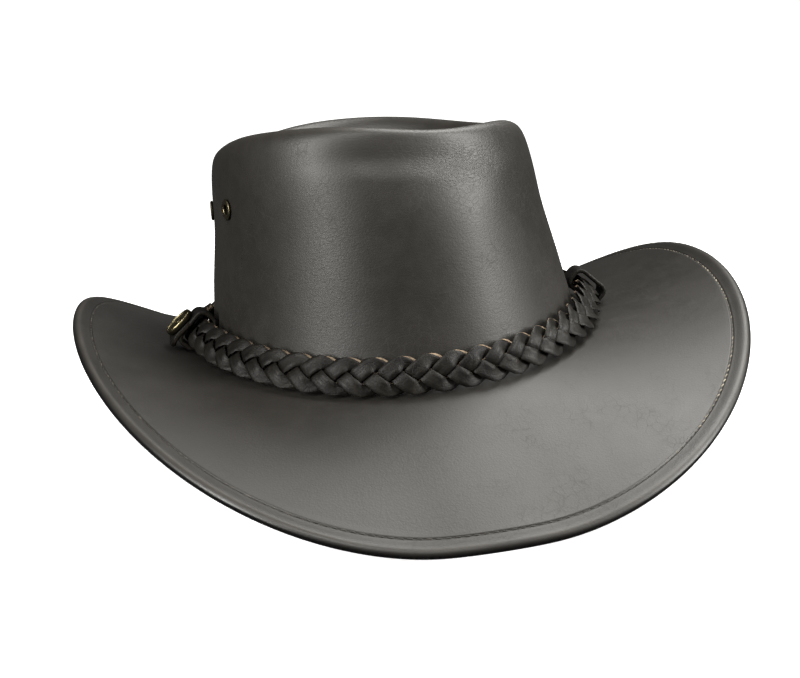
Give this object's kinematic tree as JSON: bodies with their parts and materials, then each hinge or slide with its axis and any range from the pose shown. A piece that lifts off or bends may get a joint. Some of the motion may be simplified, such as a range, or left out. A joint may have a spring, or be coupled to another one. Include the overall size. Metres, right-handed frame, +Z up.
{
  "type": "leather hat",
  "caption": "Wide-brimmed dark leather hat with a moulded open crown, curled rolled-edge brim, plaited strap band with a brass concho, and vent eyelets.",
  "frame": {"origin": "middle of the brim's bounding box on the surface the brim rests on", "axes": "+Z up, -Y towards the front of the hat, +X towards the wearer's left"},
  "size_m": [0.3079, 0.3554, 0.1484],
  "materials": {
    "hat_leather": "very dark brown smooth leather with a satin gloss and fine grain",
    "braid_leather": "dark brown strap leather, satin, with tan raw cut edges",
    "antique_brass": "antique brass, worn bright on the raised edges"
  },
  "bodies": {
    "root": {"crown": "hat_leather", "brim": "hat_leather", "braided_band": "braid_leather", "band_keeper_left": "braid_leather", "band_keeper_right": "braid_leather", "concho": "antique_brass", "eyelet_left_front": "antique_brass", "eyelet_left_back": "antique_brass", "eyelet_right_front": "antique_brass", "eyelet_right_back": "antique_brass"}
  },
  "joints": []
}
